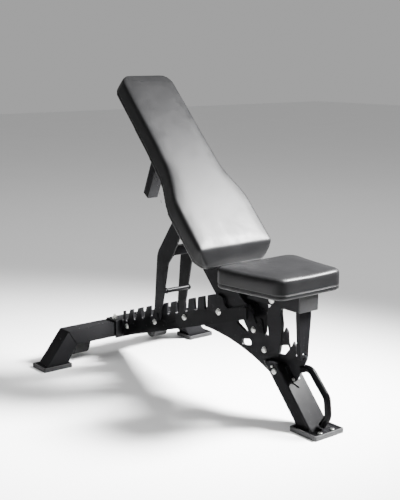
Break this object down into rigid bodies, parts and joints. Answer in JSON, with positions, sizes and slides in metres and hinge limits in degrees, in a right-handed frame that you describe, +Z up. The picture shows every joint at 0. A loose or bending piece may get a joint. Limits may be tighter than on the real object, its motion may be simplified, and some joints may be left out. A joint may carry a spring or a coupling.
{
  "type": "adjustable weight bench",
  "caption": "Adjustable weight bench: padded backrest on a notched steel spine with a swinging strut, tilting tapered seat, carry handle and transport wheels",
  "frame": {"origin": "on the floor, at the middle of the underside of the front foot", "axes": "+X along the bench towards the seat end, +Y across it to the left of a person on the seat who faces +X, +Z up"},
  "size_m": [1.0984, 0.72, 0.9774],
  "materials": {
    "frame_paint": "satin black powder coat",
    "zinc_hardware": "bright zinc-plated bolts and pins",
    "pad_vinyl": "black vinyl upholstery with a fine grain",
    "pad_board": "plywood backing under black dust cloth",
    "foot_rubber": "black moulded rubber",
    "black_plastic": "black moulded nylon"
  },
  "bodies": {
    "frame": {"front_foot_pad": "foot_rubber", "front_foot_plate": "frame_paint", "front_foot_screws": "zinc_hardware", "front_leg": "frame_paint", "arch_plate": "frame_paint", "arch_bolts": "zinc_hardware", "leg_bolts": "zinc_hardware", "front_ladder": "frame_paint", "ladder_bracket": "frame_paint", "bracket_bolts": "zinc_hardware", "handle_bar": "frame_paint", "spine_plate_right": "frame_paint", "spine_plate_left": "frame_paint", "splice_plate_right": "frame_paint", "splice_plate_left": "frame_paint", "spine_tube": "frame_paint", "spine_bolts": "zinc_hardware", "hinge_bolt": "zinc_hardware", "rear_bar": "frame_paint", "saddle": "frame_paint", "saddle_bolts": "zinc_hardware", "rear_foot_pad_right": "foot_rubber", "rear_foot_pad_left": "foot_rubber", "rear_foot_plate_right": "frame_paint", "rear_foot_plate_left": "frame_paint", "wheel_fork_right": "frame_paint", "wheel_fork_left": "frame_paint"},
    "backrest": {"back_pad": "pad_vinyl", "back_board": "pad_board", "back_tube": "frame_paint", "back_tube_cap": "black_plastic", "strut_sleeve": "frame_paint", "strut_top_bolt": "zinc_hardware", "hinge_cheek_right": "frame_paint", "hinge_cheek_left": "frame_paint", "hinge_sleeve": "frame_paint", "pad_rails": "frame_paint", "back_bolts": "zinc_hardware", "rest_leg": "frame_paint"},
    "back_strut": {"strut_arm_right": "frame_paint", "strut_arm_left": "frame_paint", "strut_pin": "frame_paint", "strut_bar_low": "frame_paint", "strut_bar_high": "frame_paint"},
    "seat": {"seat_pad": "pad_vinyl", "seat_board": "pad_board", "seat_channel": "frame_paint", "seat_cap": "black_plastic", "seat_pivot_bolt": "zinc_hardware", "strut_lugs": "frame_paint", "seat_strut_bolt": "zinc_hardware", "seat_bolts": "zinc_hardware"},
    "front_strut": {"seat_strut": "frame_paint", "seat_strut_pin": "frame_paint"},
    "wheel_right": {"wheel_tyre_right": "foot_rubber", "wheel_hub_right": "black_plastic"},
    "wheel_left": {"wheel_tyre_left": "foot_rubber", "wheel_hub_left": "black_plastic"}
  },
  "joints": [
    {"name": "backrest_tilt", "type": "hinge", "parent": "frame", "child": "backrest", "pos_m": [-0.387, 0, 0.274], "axis": [0, 1, 0], "range_deg": [0, 20]},
    {"name": "back_strut_swing", "type": "hinge", "parent": "backrest", "child": "back_strut", "pos_m": [-0.55392, 0, 0.56367], "axis": [0, 1, 0], "range_deg": [-7, 0]},
    {"name": "seat_tilt", "type": "hinge", "parent": "frame", "child": "seat", "pos_m": [-0.156, 0, 0.357], "axis": [0, -1, 0], "range_deg": [0, 24]},
    {"name": "front_strut_swing", "type": "hinge", "parent": "seat", "child": "front_strut", "pos_m": [-0.062, 0, 0.351], "axis": [0, -1, 0], "range_deg": [-28.8, 0]},
    {"name": "wheel_spin_right", "type": "hinge", "parent": "frame", "child": "wheel_right", "pos_m": [-1.016, -0.17, 0.039], "axis": [0, 1, 0], "continuous": true},
    {"name": "wheel_spin_left", "type": "hinge", "parent": "frame", "child": "wheel_left", "pos_m": [-1.016, 0.17, 0.039], "axis": [0, 1, 0], "continuous": true}
  ],
  "couplings": [
    {"joint": "back_strut_swing", "follows": "backrest_tilt", "ratio": -0.35},
    {"joint": "front_strut_swing", "follows": "seat_tilt", "ratio": -1.2}
  ]
}
